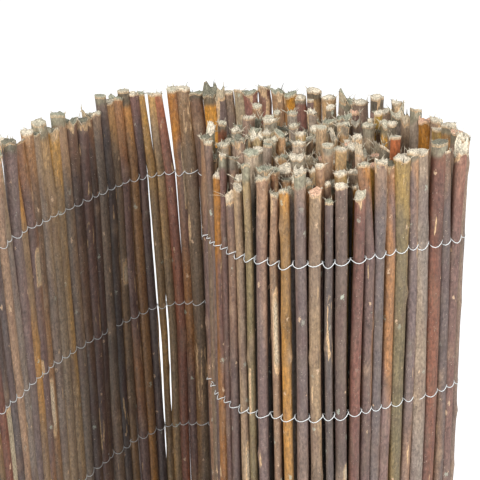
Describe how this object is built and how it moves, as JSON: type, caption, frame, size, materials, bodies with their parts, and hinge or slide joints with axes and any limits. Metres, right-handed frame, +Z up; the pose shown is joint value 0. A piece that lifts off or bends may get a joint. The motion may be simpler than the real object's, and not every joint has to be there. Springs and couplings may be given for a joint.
{
  "type": "willow screen",
  "caption": "Upright garden screen of willow rods bound by rows of wire, wound into a coil with one loose turn that ends in a free edge.",
  "frame": {"origin": "on the floor under the first rod, at the core of the coil", "axes": "+Z up along the rods, +X to the right of the front, +Y to the back"},
  "size_m": [0.3771, 0.2695, 1.01],
  "materials": {
    "willow": "satin bark, rough cut ends",
    "galvanised_wire": "dull galvanised"
  },
  "bodies": {
    "root": {"coil": "willow", "front_run": "willow", "right_corner": "willow", "back_right_run": "willow", "back_bend": "willow", "back_run": "willow", "left_bend": "willow", "left_run": "willow", "free_end_run": "willow", "wire_row_1": "galvanised_wire", "wire_row_2": "galvanised_wire", "wire_row_3": "galvanised_wire", "wire_row_4": "galvanised_wire", "wire_row_5": "galvanised_wire", "wire_row_6": "galvanised_wire", "wire_row_7": "galvanised_wire", "wire_row_8": "galvanised_wire"}
  },
  "joints": []
}
